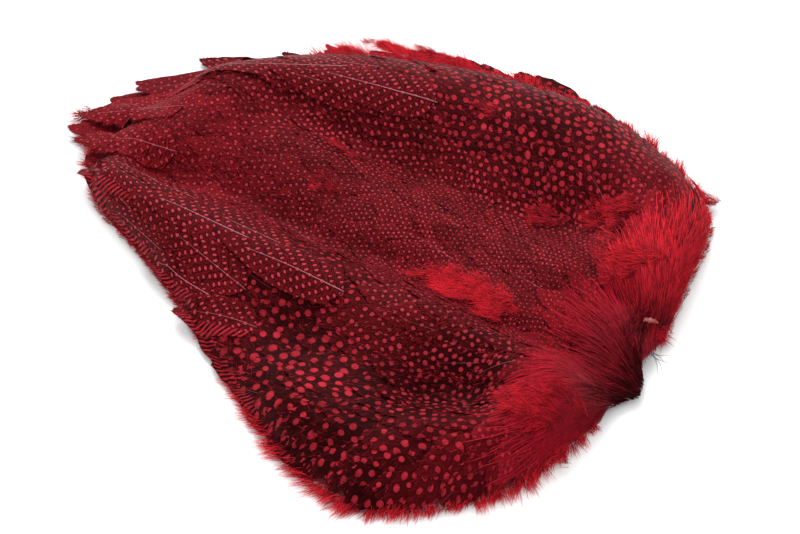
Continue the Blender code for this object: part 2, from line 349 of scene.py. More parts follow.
def spotted_web(name, colours, scatter, pearl_colour):
    """The closed web of a spotted feather, dyed: barbs hooked side by side, black but for round spots that
    held no black and took the red. It has next to no gloss, because the barbs scatter the light among
    themselves. The spots stray by up to half of scatter, a share of their pitch."""
    made, add = new_material(name)
    web, barbs = (add("UVMap", uv_map=key) for key in ("spots", "barbs"))
    kind, state, mark = (add("Attribute", attribute_name=key).outputs for key in ("kind", "state", "mark"))
    (spot_size, haze, plain), (wear, chance, edge), (shaft_shows, barred, tone) = (
        add("SeparateColor", {0: found["Color"]}).outputs for found in (kind, state, mark)
    )
    lot = add("Math", {0: chance, 1: 97.0}, operation="MULTIPLY")
    own = add("CombineXYZ", {2: lot})
    clusters, threads = (
        add("TexNoise", {
            "Vector": add("VectorMath", {0: barbs, 1: pattern, 2: own}, operation="MULTIPLY_ADD"),
            "Scale": 1.0,
            "Detail": 2.0,
        })
        for pattern in (CLUSTERS, THREADS)
    )
    streak = add(
        "MapRange", {"Value": clusters, "From Min": 0.3, "From Max": 0.7, "To Min": -1.0, "To Max": 1.0}
    )
    thread = add("MapRange", {"Value": threads, "From Min": 0.36, "From Max": 0.64}, **SMOOTH)
    border = add("MapRange", {"Value": edge, "From Min": 0.7, "From Max": 1.0}, **SMOOTH)
    loose = add("Math", {0: border, 1: 0.45, 2: wear}, operation="MULTIPLY_ADD", use_clamp=True)

    # Each row of spots is shifted by half a pitch from the last.
    parts = add("SeparateXYZ", {0: web}).outputs
    row = add("Math", {0: parts["Y"]}, operation="FLOOR")
    odd = add("Math", {0: row, 1: 2.0}, operation="FLOORED_MODULO")
    shifted = add("Math", {0: odd, 1: 0.5, 2: parts["X"]}, operation="MULTIPLY_ADD")
    place = add("CombineXYZ", {0: shifted, 1: parts["Y"], 2: lot})
    cell = add("VectorMath", {0: place}, operation="FLOOR")
    within = add("VectorMath", {0: place, 1: cell}, operation="SUBTRACT")
    dice = add("TexWhiteNoise", {"Vector": cell}, noise_dimensions="3D").outputs
    nearest = 0.5 - scatter / 2
    middle = add(
        "VectorMath", {0: dice["Color"], 1: (scatter, scatter, 0.0), 2: (nearest, nearest, 0.0)},
        operation="MULTIPLY_ADD",
    )
    away = add("VectorMath", {0: within, 1: middle}, operation="SUBTRACT")
    # Barbs that have come apart slide along each other and pull the spots to pieces.
    slide = add("Math", {0: streak, 1: loose}, operation="MULTIPLY")
    slid = add("CombineXYZ", {0: slide, 1: slide})
    pulled = add("VectorMath", {0: slid, 1: (0.12, 0.28, 0.0), 2: away}, operation="MULTIPLY_ADD")
    flat = add("VectorMath", {0: pulled, 1: (1.0, ROW_STEP, 0.0)}, operation="MULTIPLY")
    far = add("VectorMath", {0: flat}, operation="LENGTH")
    size = add("Math", {0: dice["Value"], 1: 0.4, 2: 0.8}, operation="MULTIPLY_ADD")
    radius = add("Math", {0: size, 1: spot_size}, operation="MULTIPLY")
    ratio = add("Math", {0: far, 1: radius}, operation="DIVIDE")
    spot = add("MapRange", {"Value": ratio, "From Min": 1.2, "From Max": 0.8}, **SMOOTH)

    # Towards the outer edge of some long feathers the spots run together into bars along the barbs.
    lines = add("SeparateXYZ", {0: barbs}).outputs
    turns = add("Math", {0: lines["Y"], 1: 2 * math.pi / BAR_STEP}, operation="MULTIPLY")
    wave = add("Math", {0: turns}, operation="SINE")
    bar = add("MapRange", {"Value": wave, "From Min": -0.1, "From Max": 0.5})
    outer = add("MapRange", {"Value": edge, "From Min": 0.38, "From Max": 0.52})
    where = add("Math", {0: outer, 1: barred}, operation="MULTIPLY")
    marked = add("Mix", {"Factor": where, 2: spot, 3: bar}, data_type="FLOAT")
    combed = add("Mix", {"Factor": loose, 2: 1.0, 3: thread}, data_type="FLOAT")
    red = add("Math", {0: marked, 1: combed}, operation="MULTIPLY")

    # Round each spot the web stays black; further out, and at the loose edge, fine red threads cross it.
    ring = add("MapRange", {"Value": ratio, "From Min": 1.1, "From Max": 1.9}, **SMOOTH)
    border_haze = add("Math", {0: border, 1: 0.18, 2: haze}, operation="MULTIPLY_ADD", use_clamp=True)
    open_ground = add("Math", {0: ring, 1: border_haze}, operation="MULTIPLY")
    between = add("Math", {0: open_ground, 1: thread}, operation="MULTIPLY")
    ground_colour = add("Mix", {"Factor": between, 6: colours.black_web, 7: colours.red_haze}, **COLOUR)
    depth = add("MapRange", {"Value": streak, "From Min": -1.0})
    spot_colour = add("Mix", {"Factor": depth, 6: colours.red_spot_deep, 7: colours.red_spot}, **COLOUR)
    # The smallest spots are pearls: paler in the middle, where the web held no dark colour at all.
    core = add("MapRange", {"Value": ratio, "From Min": 0.95, "From Max": 0.4})
    pearly = add("Math", {0: mark["Alpha"], 1: core}, operation="MULTIPLY")
    pearled = add("Mix", {"Factor": pearly, 6: spot_colour, 7: pearl_colour}, **COLOUR)
    spotted = add("Mix", {"Factor": red, 6: ground_colour, 7: pearled}, **COLOUR)
    streaked = add("Mix", {"Factor": depth, 6: colours.dark_hackle, 7: colours.red_hackle}, **COLOUR)
    mixed = add("Mix", {"Factor": plain, 6: spotted, 7: streaked}, **COLOUR)
    from_shaft = add("Math", {0: lines["X"]}, operation="ABSOLUTE")
    line = add("MapRange", {"Value": from_shaft, **SHAFT_LINE})
    shown = add("Math", {0: line, 1: shaft_shows}, operation="MULTIPLY")
    shafted = add("Mix", {"Factor": shown, 6: mixed, 7: colours.shaft_pale}, **COLOUR)
    bright = add("Math", {0: tone, 1: 0.5, 2: 0.75}, operation="MULTIPLY_ADD")
    surface = add("BsdfPrincipled", {
        "Base Color": add("VectorMath", {0: shafted, "Scale": bright}, operation="SCALE"),
        "Normal": add("Bump", {"Height": clusters, "Strength": 0.4, "Distance": 0.0003}),
        "Roughness": 0.6,
        "Specular IOR Level": 0.06,
        "Specular Tint": colours.sheen,
    })
    add("OutputMaterial", {"Surface": surface})
    return made


def dyed_barbs(name, root_colour, tip_colour, sheen, glow):
    """Loose barbs, dyed: each a fine keratin thread, darker where it is matted at its root and lighter and
    softer at its free tip."""
    made, add = new_material(name)
    strand = add("Attribute", attribute_name="strand").outputs["Color"]
    share, chance, _ = add("SeparateColor", {0: strand}).outputs
    tone = add("Math", {0: chance, 1: 0.7, 2: -0.35}, operation="MULTIPLY_ADD")
    place = add("Math", {0: share, 1: tone}, operation="ADD", use_clamp=True)
    surface = add("BsdfPrincipled", {
        "Base Color": add("Mix", {"Factor": place, 6: root_colour, 7: tip_colour}, **COLOUR),
        "Roughness": 0.7,
        "Specular IOR Level": 0.1,
        "Specular Tint": tip_colour,
        "Sheen Weight": sheen,
        "Sheen Tint": glow,
    })
    add("OutputMaterial", {"Surface": surface})
    return made


def dried_skin(colours):
    """Air-dried bird skin, stained by the dye: thin, hard and parchment-like, with fine creases and the pits
    that the quills grow from."""
    made, add = new_material("dyed_dried_skin")
    place = add("TexCoord").outputs["Object"]
    pits = add("TexVoronoi", {"Vector": place, "Scale": 1000 / QUILL_STEP})
    pit = add("MapRange", {"Value": pits, "From Max": 0.35})
    creases = add("TexNoise", {"Vector": place, "Scale": 120.0, "Detail": 6.0})
    stain = add("TexNoise", {"Vector": place, "Scale": 25.0, "Detail": 3.0})
    patchy = add("MapRange", {"Value": stain, "From Min": 0.35, "From Max": 0.65})
    base = add("Mix", {"Factor": patchy, 6: colours.skin_dark, 7: colours.skin_light}, **COLOUR)
    high = add("Math", {0: creases, 1: pit}, operation="ADD")
    surface = add("BsdfPrincipled", {
        "Base Color": add("Mix", {"Factor": pit, 6: colours.skin_dark, 7: base}, **COLOUR),
        "Normal": add("Bump", {"Height": high, "Strength": 0.5, "Distance": 0.0005}),
        "Roughness": 0.45,
    })
    add("OutputMaterial", {"Surface": surface})
    return made


def keratin_shaft(colours):
    """A feather's shaft: smooth, solid keratin that took little dye, paler than the web, dully glossy."""
    made, add = new_material("pale_keratin_shaft")
    cloud = add("TexNoise", {"Vector": add("TexCoord").outputs["Object"], "Scale": 300.0, "Detail": 2.0})
    mixed = add("Mix", {"Factor": cloud, 6: colours.shaft_dark, 7: colours.shaft_pale}, **COLOUR)
    add("OutputMaterial", {"Surface": add("BsdfPrincipled", {"Base Color": mixed, "Roughness": 0.35})})
    return made


def make_piece(name, points, faces, material, uvs, attributes=(), slot="plumage", replaces="pelt"):
    """An object from arrays: points, faces, and for each point its places on UV maps and its attributes."""
    mesh = bpy.data.meshes.new(name)
    mesh.from_pydata(points.tolist(), [], faces)
    corner_of = np.empty(len(mesh.loops), np.int32)
    mesh.loops.foreach_get("vertex_index", corner_of)
    for map_name, places in uvs.items():
        layer = mesh.uv_layers.new(name=map_name)
        layer.data.foreach_set("uv", places[corner_of].astype(np.float32).ravel())
    for key, values in dict(attributes).items():
        layer = mesh.attributes.new(key, "FLOAT_COLOR", "POINT")
        full = np.ones((len(points), 4), np.float32)
        full[:, : values.shape[1]] = values
        layer.data.foreach_set("color", full.ravel())
    mesh.materials.append(material)
    mesh.shade_smooth()
    mesh.update()
    piece = bpy.data.objects.new(name, mesh)
    bpy.context.scene.collection.objects.link(piece)
    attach(piece, "root")
    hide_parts(replaces)
    return piece


def atlas(count, share):
    """Places on one square map for many like shapes, each in its own cell; share is a point's place in it."""
    side = math.ceil(math.sqrt(count))
    cells = np.column_stack(np.divmod(np.arange(count), side)).astype(float)
    inset = 0.06 + 0.88 * np.clip(share, 0, 1)
    return ((cells[:, None, :] + inset) / side).reshape(-1, 2)


def repeated(template, count, own):
    """The faces of many like shapes of own points each, from those of the first."""
    return [tuple(k * own + c for c in face) for k in range(count) for face in template]


BARB_COLUMNS = np.array((-1.0, -0.6, 0.0, 0.6, 1.0))
LOOSE_ENDS = 4  # loose barb ends from one row to the next, on each side of a vane
SHAFT_SHARE = 0.86  # of a feather's length; the last barbs reach on to its tip


def vane_faces(rows, columns):
    """Faces of one vane: the rows of barbs either side of the shaft, the tip, and the loose ends of barbs."""
    faces = []
    for i in range(rows - 1):
        for j in range(columns - 1):
            k = i * columns + j
            faces.append((k, k + 1, k + columns + 1, k + columns))
    last, tip, half = (rows - 1) * columns, rows * columns, columns // 2
    faces.append((*range(last, last + half + 1), tip))
    faces.append((*range(last + half, last + columns), tip))
    for k in range(2 * rows * LOOSE_ENDS):
        faces.append(tuple(tip + 1 + 3 * k + c for c in range(3)))
    return faces


def vanes(lengths, widths, rng, rows, columns=BARB_COLUMNS, first=0.2, ragged=0.07, loose=1.4):
    """Flat vanes in their own frames: arrays of places along and across, of the same two measured along the
    barbs, and of how near each point is to the vane's edge. The longest loose ends of barbs are as many
    millimetres as loose says near the root, and more at the tip."""
    count = len(lengths)
    side, share = np.sign(columns), np.abs(columns)
    leave = np.linspace(first, 1, rows)
    reach = 0.30 + 0.70 * np.sin(np.pi * (0.14 + 0.74 * leave))
    sweep = np.radians(64 - 52 * leave**1.5)
    wobble = 1 + ragged * rng.normal(size=(count, rows, 2))
    wobble = np.where(columns < 0, wobble[..., :1], wobble[..., 1:])
    barb = widths[:, None, None] / 2 * reach[None, :, None] * wobble
    shaft = SHAFT_SHARE * lengths[:, None, None] * leave[None, :, None]
    x = shaft + barb * np.cos(sweep)[None, :, None] * share**1.25
    y = side * barb * np.sin(sweep)[None, :, None] * share**0.9
    web = np.stack([x, y], -1)
    by_barb = np.stack([side * share * barb, np.broadcast_to(shaft, barb.shape)], -1)
    tip_x = SHAFT_SHARE * lengths + barb[:, -1].mean(1) * 1.04
    tip = np.stack([tip_x, np.zeros(count)], -1)[:, None, None]
    tip_barb = np.stack([np.zeros(count), tip_x], -1)[:, None, None]

    # The loose ends stand on the line of the vane's edge, which runs round to the tip.
    at = (np.arange(LOOSE_ENDS) / LOOSE_ENDS)[None, None, :, None, None]
    both = (at, np.minimum(at + 1.4 / LOOSE_ENDS, 1))
    rims = (
        np.concatenate([body[:, :, [0, -1]], np.repeat(top, 2, 2)], 1)[:, :, None]
        for body, top in ((web, tip), (by_barb, tip_barb))
    )
    heels, heel_barb = ([rim[:, :-1] * (1 - f) + rim[:, 1:] * f for f in both] for rim in rims)
    inner = np.concatenate([web[:, :, [1, -2]], web[:, -1:, [1, -2]]], 1)[:, :, None]
    inwards = inner[:, :-1] * (1 - at) + inner[:, 1:] * at
    heels = [heel * 0.8 + inwards * 0.2 for heel in heels]
    turn = sweep[None, :, None, None] + rng.normal(0, 0.22, (count, rows, LOOSE_ENDS, 2))
    out = np.stack([np.cos(turn), np.sin(turn) * np.array((-1, 1))], -1)
    far = loose * MM * (0.8 + 1.2 * leave**3)[None, :, None, None, None]
    far = far * rng.uniform(0.25, 1, (count, rows, LOOSE_ENDS, 2, 1)) ** 1.5
    ends = (heels[0] + heels[1]) / 2 + out * (far + 0.2 * MM)
    teeth = np.stack([*heels, ends], -2)
    end_barb = (heel_barb[0] + heel_barb[1]) / 2 + far * np.array((1, 0)) * np.array((-1, 1))[:, None]
    teeth_barb = np.stack([*heel_barb, end_barb], -2)

    flat, barbs = (
        np.concatenate([body.reshape(count, -1, 2), top[:, 0], ends_of.reshape(count, -1, 2)], 1)
        for body, top, ends_of in ((web, tip, teeth), (by_barb, tip_barb, teeth_barb))
    )
    near_tip = np.clip((leave[:, None] - 0.6) / 0.4, 0, 1) ** 2
    edge = np.maximum(share, 0.9 * near_tip).ravel()
    edge = np.concatenate([edge, np.ones(1 + teeth[0].size // 2)])
    return flat, barbs, np.broadcast_to(edge, (count, len(edge)))


LAYER_SLOPE = 0.075  # how steeply each feather lies over the ones behind it
ROOT_SINK = 1.6 * MM  # how far under the plumage's smooth top a feather's root lies
CAMBER = 1.0 * MM  # how far a vane's edges droop below its shaft
LOWEST_VANE = 0.4 * MM
VANE_CLEAR = 1.5 * MM  # how far above the plumage's smooth top the edges of a long feather lie
SHAFT_RADIUS = 0.36 * MM
CONTOUR_ROWS = 11  # rows of barbs on a body feather
FAR_MOVE = 11 * MM  # of the feathers that have to move inwards by more than this, most are left out
BARRED_BAND = 16 * MM  # how wide the band of barred feathers along the right edge is

# From the neck to the tail, how far the tips of the feathers reach past the skin's edge, and how long the
# loose fringe there is, in millimetres.
RIGHT_REACH = (0, 5, 2, 3, 5, 3, 1, -5, -6)
LEFT_REACH = (-8, -9, -8, 6, 12, 12, 11, 9, 9)
RIGHT_FRINGE = (2, 7, 9, 5, 11, 10, 4, 2, 2)
LEFT_FRINGE = (1, 1, 2, 8, 9, 13, 16, 7, 5)
# How far the tips reach past the skin's end at the tail, from its right corner to its left.
TAIL_REACH = ((-1.0, -0.6, -0.35, -0.1, 0.1, 0.35, 0.6, 1.0), (0, 12, 13, 20, 26, 21, 18, 10))
FULL_DENSITY = 36  # feathers of this length in millimetres and shorter ones stand in every place of the rows


def draped(roots, ways, flat, lifts, widths, bends):
    """Vanes laid over the plumage: flat shapes turned the way each feather points, and lowered onto it."""
    forward = pointing(ways)
    aside = forward[:, ::-1] * (-1, 1)
    x, y = flat[..., :1], flat[..., 1:]
    middle = roots + forward * x[:, :, 0].max(1)[:, None] * 0.5
    shrink_x = 1 / np.sqrt(1 + ground.slope(middle, forward) ** 2)[:, None, None]
    shrink_y = 1 / np.sqrt(1 + ground.slope(middle, aside) ** 2)[:, None, None]
    places = (
        roots[:, None]
        + forward[:, None] * x * shrink_x
        + aside[:, None] * (y * shrink_y + bends[:, None, None] * x**2)
    )
    droop = CAMBER * (y[..., 0] / (widths[:, None] / 2)) ** 2
    # Long feathers lie flatter, so that their tips stand no higher than those of short ones.
    longest = x[..., 0].max(1, keepdims=True)
    slope = LAYER_SLOPE * np.minimum(1, FULL_DENSITY * MM / longest)
    z = ground.height(places) - ROOT_SINK + lifts[:, None] + slope * x[..., 0] - droop
    return np.dstack([places, np.maximum(z, LOWEST_VANE)])


def held_in(roots, ways, lengths, widths, margin):
    """Roots moved inwards until the feathers' tips and sides are inside the skin's edge."""
    roots = roots.copy()
    forward = pointing(ways)
    step = 2 * MM
    for _ in range(4):
        for share, need in ((1.0, margin), (0.6, 0.3 * widths + margin)):
            places = roots + forward * (lengths * share)[:, None]
            inwards = [
                ground.from_edge(places + move) - ground.from_edge(places - move) for move in np.eye(2) * step
            ]
            inwards = np.stack(inwards, -1)
            inwards /= np.maximum(np.linalg.norm(inwards, axis=-1, keepdims=True), 1e-9)
            roots += inwards * np.maximum(need - ground.from_edge(places), 0)[:, None]
    return roots


def edge_value(s, t, right, left):
    """At each (s, t), between a value that changes along the right edge and one along the left."""
    shares = np.linspace(0, 1, len(right))
    return np.interp(s, shares, right) * (1 - t) / 2 + np.interp(s, shares, left) * (1 + t) / 2


def contour_feathers(name, s, t, material, rng, scale=1.0, lift=0.0):
    """One piece of many body feathers with their roots at (s, t)."""
    # Long feathers show more of themselves, so there are fewer of them.
    few = (FULL_DENSITY / traits(plan(s, t))[:, 0]) ** 2
    chosen = rng.uniform(0, 1, len(s)) < few
    s, t = s[chosen], t[chosen]
    roots = plan(s, t)
    count = len(roots)
    vary = rng.normal(1, 0.06, (count, 2))
    lengths, widths = (traits(roots)[:, :2] * MM * vary * scale).T
    ways = headings(s, t) + rng.normal(0, 2.5 * MM, count) / lengths
    past = edge_value(s, t, RIGHT_REACH, LEFT_REACH)
    past += np.interp(t, *TAIL_REACH) * np.clip((s - 0.72) / 0.2, 0, 1)
    held = held_in(roots, ways, lengths, widths, (rng.uniform(0, 3, count) - past) * MM)
    # Of the feathers that had to move far, most are left out, so that the rest don't crowd at the edge.
    near = (np.linalg.norm(held - roots, axis=1) < FAR_MOVE) | (rng.uniform(0, 1, count) < 0.3)
    s, t, roots, lengths, widths, ways = (values[near] for values in (s, t, held, lengths, widths, ways))
    count = len(s)
    bends = rng.normal(0, 1.0, count)
    flat, barbs, edge = vanes(lengths, widths, rng, CONTOUR_ROWS)
    points = draped(roots, ways, flat, rng.normal(lift, 0.3 * MM, count), widths, bends)
    # The look is that of the place where the feather shows, which is towards its tip.
    shown = roots + pointing(ways) * lengths[:, None] * 0.85
    _, _, spot_step, spot_width, redness, plainness, apart = traits(shown).T
    pitch = spot_step * MM * rng.normal(1, 0.04, count)
    phase = rng.uniform(0, 1, (count, 1))
    arched = flat[..., 0] + flat[..., 1] ** 2 / (1.7 * widths[:, None])
    spots = np.dstack(
        [flat[..., 1] / pitch[:, None] + phase, arched / (pitch[:, None] * ROW_STEP) + phase * 7]
    )
    own = len(edge[0])
    long = np.clip((lengths / MM - 42) / 10, 0, 1)
    shaft_shows = np.where(rng.uniform(0, 1, count) < 0.08 + 0.6 * long, 0.4, 0.0)
    at_edge = (t < -0.5) & (s > 0.55) & (ground.from_edge(shown) < BARRED_BAND)
    outer_side = np.clip(flat[..., 1] / (0.1 * widths[:, None]), 0, 1) * at_edge[:, None]
    worn = np.clip(apart * 2.5 * rng.uniform(0, 1, count) ** 2, 0, 1)
    chance, tone = rng.uniform(0, 1, count), rng.uniform(0, 1, count)
    pearl = np.clip((2.4 - spot_width) / 0.8, 0, 1)
    kind = np.column_stack([spot_width * MM / 2 / pitch, redness, plainness])
    worn, chance, shaft_shows, tone, pearl = (
        np.repeat(values, own) for values in (worn, chance, shaft_shows, tone, pearl)
    )
    attributes = {
        "kind": np.repeat(kind, own, axis=0),
        "state": np.column_stack([worn, chance, edge.ravel()]),
        "mark": np.column_stack([shaft_shows, outer_side.ravel(), tone, pearl]),
    }
    faces = repeated(vane_faces(CONTOUR_ROWS, len(BARB_COLUMNS)), count, own)
    share = np.dstack(
        [flat[..., 0] / (lengths[:, None] * 1.15), flat[..., 1] / (widths[:, None] * 1.2) + 0.5]
    )
    uvs = {
        "OFBake": atlas(count, share),
        "spots": spots.reshape(-1, 2),
        "barbs": barbs.reshape(-1, 2) * CENTIMETRES,
    }
    return make_piece(name, points.reshape(-1, 3), faces, material, uvs, attributes)


STRAND_STEPS = 4


def bent(aside, down=0.0):
    """How far strands bend by their tips, as shares of their length: sideways in the plan, and down."""
    return np.column_stack([aside, np.zeros(len(aside)) - down])


def strands(roots, ways, lengths, widths, bends, rng, full=0.0, clear=None, hug=0.0, twist=0.3):
    """Ribbons for loose barbs and narrow feathers: points, faces and shares along and across. Each starts at
    its root, sets out along its way and bends; full widens its middle, clear keeps it that far above the
    ground, hug draws it down to there, and twist turns it about its own line."""
    count = len(roots)
    u = np.linspace(0, 1, STRAND_STEPS + 1)[None, :, None]
    line = roots[:, None] + (ways[:, None] * u + bends[:, None] * u**2) * lengths[:, None, None]
    if clear is not None:
        floor = ground.height(line) + clear[:, None]
        line[..., 2] = np.maximum(line[..., 2] * (1 - hug) + floor * hug, floor)
    line[..., 2] = np.maximum(line[..., 2], 0.3 * MM)
    tangent = np.gradient(line, axis=1)
    facing = np.array((0, 0, 1.0)) + rng.normal(0, twist, (count, 1, 3))
    side = np.cross(tangent, facing)
    side /= np.maximum(np.linalg.norm(side, axis=-1, keepdims=True), 1e-9)
    profile = (1 - u) ** 0.7 * (1 - full) + full * np.sin(np.pi * (0.1 + 0.9 * u)) ** 0.8
    half = side * profile * widths[:, None, None] / 2
    edges = np.stack([line - half, line + half], 2).reshape(count, -1, 3)
    points = np.concatenate([edges[:, :-2], line[:, -1:]], 1)
    own = points.shape[1]
    template = [(2 * i, 2 * i + 1, 2 * i + 3, 2 * i + 2) for i in range(STRAND_STEPS - 1)]
    template.append((own - 3, own - 2, own - 1))
    shares = np.append(np.repeat(u.ravel()[:-1], 2), 1.0)
    across = np.append(np.tile((0.0, 1.0), STRAND_STEPS), 0.5)
    shares = np.broadcast_to(np.column_stack([shares, across]), (count, own, 2))
    return points, repeated(template, count, own), shares


def strand_piece(name, made, material, rng, tone=0.0, vary=1.0):
    """One piece of many strands, each as light as tone says, give or take half of vary."""
    points, faces, shares = made
    count, own = points.shape[:2]
    chance = 0.5 + tone + vary * rng.uniform(-0.5, 0.5, count)
    strand = np.column_stack([shares[..., 0].ravel(), np.repeat(chance, own), np.zeros(count * own)])
    return make_piece(
        name, points.reshape(-1, 3), faces, material, {"OFBake": atlas(count, shares)}, {"strand": strand}
    )


def tube(line, radii, aside, sides=6):
    """A round tube along a line of points, closed at its ends: points, faces, places round and along it."""
    angles = np.linspace(0, 2 * np.pi, sides, endpoint=False)
    ring = np.outer(np.cos(angles), aside) + np.outer(np.sin(angles), (0, 0, 1))
    points = (line[:, None] + ring * radii[:, None, None]).reshape(-1, 3)
    faces = [
        (k * sides + i, k * sides + (i + 1) % sides, (k + 1) * sides + (i + 1) % sides, (k + 1) * sides + i)
        for k in range(len(line) - 1)
        for i in range(sides)
    ]
    faces += [tuple(reversed(range(sides))), tuple(range((len(line) - 1) * sides, len(line) * sides))]
    round_share, along_share = np.meshgrid(np.arange(sides) / sides, np.linspace(0.02, 0.98, len(line)))
    return points, faces, np.column_stack([round_share.ravel(), along_share.ravel()])


def joined(parts):
    """Several sets of strands as one."""
    points = np.concatenate([part[0] for part in parts])
    shares = np.concatenate([part[2] for part in parts])
    faces, start = [], 0
    for part in parts:
        faces += [tuple(c + start for c in face) for face in part[1]]
        start += part[0].shape[0] * part[0].shape[1]
    return points, faces, shares


LENGTH = {"unit": "LENGTH", "precision": 5}

# Each colour's label, its use, and its sRGB value.
COLOURS = {
    "red_spot": ("Spots", "Red of the spots", "#A92A36"),
    "red_spot_deep": ("Deep spots", "Red in the depth of the spots", "#8C1722"),
    "pearl": ("Pearls", "Paler pink in the middle of the long feathers' spots", "#A8404B"),
    "small_pearl": ("Small pearls", "Pink in the middle of the smallest spots of the body", "#94363F"),
    "black_web": ("Web", "Near black of the web between the spots", "#220607"),
    "red_haze": ("Haze", "Dull red of the threads in the web", "#8E1A21"),
    "red_hackle": ("Hackle", "Red of the plain feathers", "#B01628"),
    "dark_hackle": ("Dark hackle", "Maroon between the plain feathers", "#6A101A"),
    "red_down": ("Down", "Bright red of the down", "#E02431"),
    "sheen": ("Sheen", "Colour of the soft gloss at a glance", "#C04050"),
    "silk": ("Silk", "Colour of the soft glow on the loose barbs", "#D8707C"),
    "skin_light": ("Skin", "Stained parchment of the dried skin", "#B4605C"),
    "skin_dark": ("Dark skin", "Deeper stain of the dried skin", "#7A2B2F"),
    "shaft_pale": ("Shaft", "Pale side of a feather's shaft", "#B06874"),
    "shaft_dark": ("Dark shaft", "Dark side of a feather's shaft", "#7A2C3A"),
}


class PlumageSizes(bpy.types.PropertyGroup):
    row_step: FloatProperty(
        name="Row step", description="How far apart the rows of body feathers are", default=8.0 * MM, **LENGTH
    )
    column_step: FloatProperty(
        name="Column step", description="How far apart the feathers of a row are", default=9.5 * MM, **LENGTH
    )
    hackle_step: FloatProperty(
        name="Hackle step", description="How far apart the narrow neck feathers are",
        default=0.82 * MM, **LENGTH,
    )
    fringe_step: FloatProperty(
        name="Fringe step", description="How far apart the fringe's loose barbs leave the edge",
        default=0.07 * MM, **LENGTH,
    )
    loose_barbs: IntProperty(
        name="Loose barbs", description="How many single barbs lie over the feathers", default=14000, min=0
    )


class DyeColours(bpy.types.PropertyGroup):
    __annotations__ = {
        key: FloatVectorProperty(name=label, description=use, subtype="COLOR", default=linear(code))
        for key, (label, use, code) in COLOURS.items()
    }


class StageSettings(bpy.types.PropertyGroup):
    floor: FloatVectorProperty(
        name="Floor", description="Pale colour of the floor", subtype="COLOR", default=linear("#F4F4F4")
    )
    key_power: FloatProperty(name="Key light", description="Power of the soft light overhead", default=16.0)
    fill_power: FloatProperty(name="Fill light", description="Power of the soft light in front", default=1.0)


def settings():
    return bpy.context.scene.plumage_sizes, bpy.context.scene.dye_colours


class PLUMAGE_OT_skin(bpy.types.Operator):
    """Lays the dried skin and the matted down that grows on it"""

    bl_idname = "plumage.skin"
    bl_label = "Skin and under-down"

    STEPS = 90

    def execute(self, context):
        _, colours = settings()
        rng = np.random.default_rng(SEED)
        # Both end a little inside the skin's edge, where the feathers hide them.
        s, t = np.meshgrid(
            np.linspace(0.02, 0.98, self.STEPS), np.linspace(-0.985, 0.985, self.STEPS), indexing="ij"
        )
        s, t = s.ravel(), t.ravel()
        places = plan(s, t)
        corners = np.arange(self.STEPS**2).reshape(self.STEPS, self.STEPS)
        grid = np.stack([corners[:-1, :-1], corners[1:, :-1], corners[1:, 1:], corners[:-1, 1:]], -1)
        grid = grid.reshape(-1, 4).tolist()
        uvs = {"OFBake": np.column_stack([s, t / 2 + 0.5]) * 0.96 + 0.02}

        rough = rng.normal(0, 0.25 * MM, len(places))
        heights = np.maximum(ground.height(places) - 2.2 * MM + rough, 0.8 * MM)
        mat = dyed_barbs("matted_under_down", colours.black_web, colours.dark_hackle, 0.0, colours.sheen)
        share, chance = rng.uniform(0, 0.6, len(places)), rng.uniform(0, 1, len(places))
        strand = np.column_stack([share, chance, np.zeros(len(places))])
        make_piece("under_down", np.column_stack([places, heights]), grid, mat, uvs, {"strand": strand})

        waves = np.sin(places[:, 0] * 220) * np.cos(places[:, 1] * 190)
        low = np.column_stack([places, 0.2 * MM + 0.12 * MM * waves])
        skin = make_piece("dried_skin", low, grid, dried_skin(colours), uvs)
        thick = skin.modifiers.new("thickness", "SOLIDIFY")
        thick.thickness = 0.5 * MM
        thick.offset = -1
        return {"FINISHED"}


class PLUMAGE_OT_body_feathers(bpy.types.Operator):
    """Grows the spotted feathers of the back, the flanks and the rump"""

    bl_idname = "plumage.body_feathers"
    bl_label = "Body feathers"

    def execute(self, context):
        sizes, colours = settings()
        rng = np.random.default_rng(SEED + 1)
        web = spotted_web("spotted_feather_web", colours, 0.26, colours.small_pearl)
        s, t = staggered(sizes.row_step, sizes.column_step, (0.02, 0.93), (-0.985, 0.985), rng)
        parts = {
            "right_flank_plumage": (t < -0.36) & (s < 0.8),
            "left_flank_plumage": (t > 0.36) & (s < 0.8),
            "back_plumage": (np.abs(t) <= 0.36) & (s < 0.8),
            "rump_plumage": s >= 0.8,
        }
        for name, chosen in parts.items():
            contour_feathers(name, s[chosen], t[chosen], web, rng)
        s, t = staggered(sizes.row_step, sizes.row_step, (0.84, 1.0), (-0.6, 0.85), rng)
        contour_feathers("rump_end_plumage", s, t, web, rng, 1.1, 2.0 * MM)
        return {"FINISHED"}


